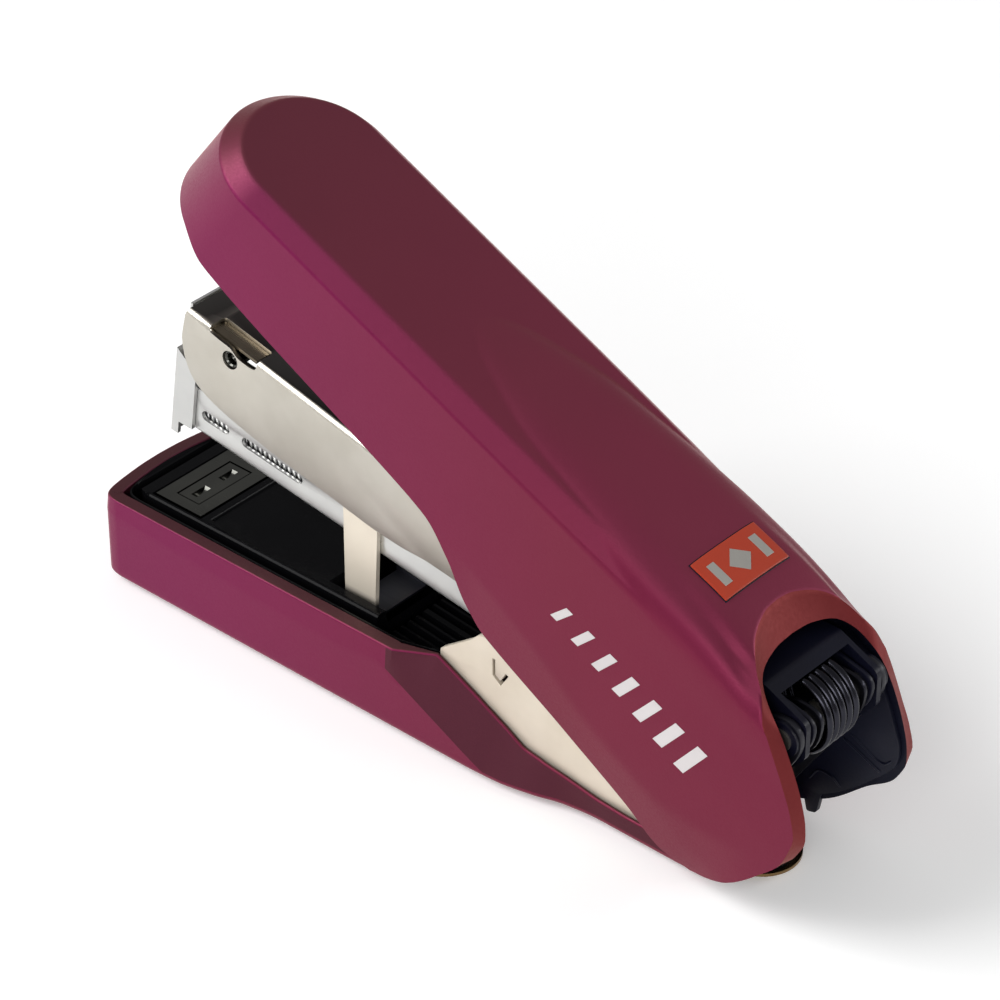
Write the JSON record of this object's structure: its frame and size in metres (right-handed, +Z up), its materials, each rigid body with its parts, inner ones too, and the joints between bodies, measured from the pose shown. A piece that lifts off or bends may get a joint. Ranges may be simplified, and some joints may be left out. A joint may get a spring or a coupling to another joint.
{
  "type": "flat-clinch hand stapler",
  "caption": "Hand stapler with a long raised press handle, open-topped steel magazine, flat-clinch base table and staple remover tongue at the tail.",
  "frame": {"origin": "on the table top, under the middle of the overall length and width", "axes": "+Z up, +X from the nose (where paper goes in) to the tail, +Y across to the stapler's left side seen from the tail"},
  "size_m": [0.1572, 0.032, 0.0993],
  "materials": {
    "wine_plastic": "satin wine red with a faint metallic shift",
    "black_gloss": "polished black",
    "black_matte": "moulded blue-black",
    "nickel_steel": "nickel-plated pressed steel",
    "bright_steel": "bright pressed steel",
    "spring_steel": "black-oxide spring wire",
    "brass_steel": "gold-tinted plated steel",
    "rubber_foot": "matte",
    "orange_plate": "orange printed plate"
  },
  "bodies": {
    "base": {"base_shell": "wine_plastic", "clincher_table": "black_gloss", "anvil_plate": "bright_steel", "base_frame": "nickel_steel", "rear_shaft": "nickel_steel", "shaft_clip_left": "spring_steel", "shaft_clip_right": "spring_steel", "remover_blade": "brass_steel", "remover_cover": "black_gloss", "foot_front": "rubber_foot", "foot_rear": "rubber_foot", "lift_spring": "spring_steel"},
    "clincher": {"clincher_block": "bright_steel"},
    "magazine": {"magazine_channel": "bright_steel", "nose_plate": "bright_steel", "staple_strip": "bright_steel", "guide_rod": "bright_steel", "magazine_end_block": "black_matte", "pusher_spring": "spring_steel", "stirrup": "nickel_steel"},
    "pusher": {"pusher": "black_matte"},
    "lever_frame": {"inner_frame": "black_matte", "lever_pin_left": "nickel_steel", "lever_pin_right": "nickel_steel", "torsion_spring": "spring_steel"},
    "driver": {"driver_frame": "nickel_steel", "driver_blade": "bright_steel", "nose_pin": "nickel_steel", "retainer_tab": "brass_steel", "wear_plate": "nickel_steel"},
    "handle": {"handle_shell": "wine_plastic", "handle_liner": "black_matte", "press_roller": "bright_steel", "roller_axle": "nickel_steel", "badge": "orange_plate"}
  },
  "joints": [
    {"name": "handle_press", "type": "hinge", "parent": "lever_frame", "child": "handle", "pos_m": [0.05275, 0, 0.019], "axis": [0, -1, 0], "range_deg": [0, 18], "stiffness_Nm_per_rad": 0.9, "springref_deg": -20.05, "deforming": ["torsion_spring"]},
    {"name": "driver_press", "type": "hinge", "parent": "lever_frame", "child": "driver", "pos_m": [0.0705, 0, 0.0365], "axis": [0, -1, 0], "range_deg": [0, 8.28]},
    {"name": "magazine_tilt", "type": "hinge", "parent": "base", "child": "magazine", "pos_m": [0.0705, 0, 0.0365], "axis": [0, -1, 0], "range_deg": [0, 5.1], "deforming": ["lift_spring"]},
    {"name": "loading_swing", "type": "hinge", "parent": "base", "child": "lever_frame", "pos_m": [0.0705, 0, 0.0365], "axis": [0, 1, 0], "range_deg": [0, 50]},
    {"name": "pusher_slide", "type": "slide", "parent": "magazine", "child": "pusher", "axis": [0.9898, 0, -0.1426], "range_m": [0, 0.046], "stiffness_N_per_m": 6, "springref_m": -0.05, "deforming": ["pusher_spring"]},
    {"name": "clincher_sink", "type": "slide", "parent": "base", "child": "clincher", "axis": [0, 0, -1], "range_m": [0, 0.001], "stiffness_N_per_m": 600, "springref_m": -0.0004}
  ],
  "couplings": [
    {"joint": "driver_press", "follows": "handle_press", "ratio": 0.46},
    {"joint": "magazine_tilt", "follows": "handle_press", "ratio": 0.2833}
  ]
}
